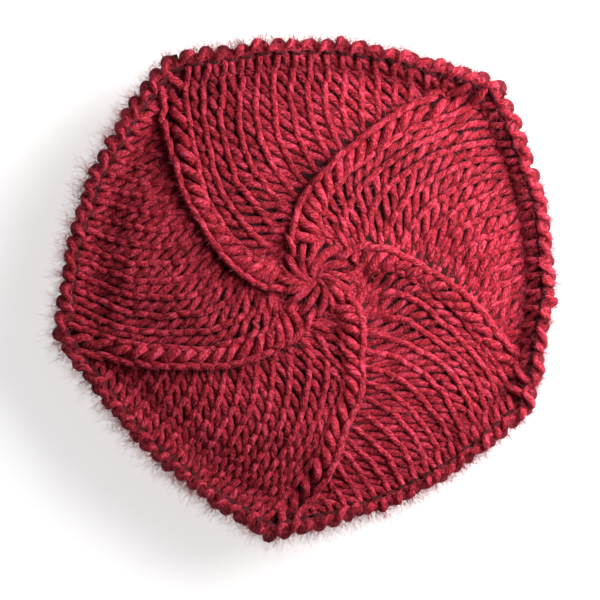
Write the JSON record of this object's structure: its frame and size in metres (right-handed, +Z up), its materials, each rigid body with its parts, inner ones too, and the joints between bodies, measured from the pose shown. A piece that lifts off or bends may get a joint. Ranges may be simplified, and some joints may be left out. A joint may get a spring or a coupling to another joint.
{
  "type": "knitted beret",
  "caption": "Hand-knitted wool beret with a swirled wedge crown, a purl turning ridge, a sloping underside and a ribbed headband.",
  "frame": {"origin": "centre of the head opening, on the plane that the headband's cast-on edge stands on", "axes": "+Z up through the crown, along the axis of the head opening; seen from above, +X is to the right and +Y is to the back"},
  "size_m": [0.2618, 0.2623, 0.0509],
  "materials": {
    "wool": "matte, fuzzy heathered crimson wool yarn with a soft fibre halo"
  },
  "bodies": {
    "root": {"cast_on_edge": "wool", "headband": "wool", "underside_panel_1": "wool", "underside_panel_2": "wool", "underside_panel_3": "wool", "underside_panel_4": "wool", "underside_panel_5": "wool", "turning_ridge": "wool", "crown_wedge_1": "wool", "crown_wedge_2": "wool", "crown_wedge_3": "wool", "crown_wedge_4": "wool", "crown_wedge_5": "wool", "decrease_rib_1": "wool", "decrease_rib_2": "wool", "decrease_rib_3": "wool", "decrease_rib_4": "wool", "decrease_rib_5": "wool", "crown_closure": "wool", "cast_on_tail": "wool", "closing_tail": "wool"}
  },
  "joints": []
}
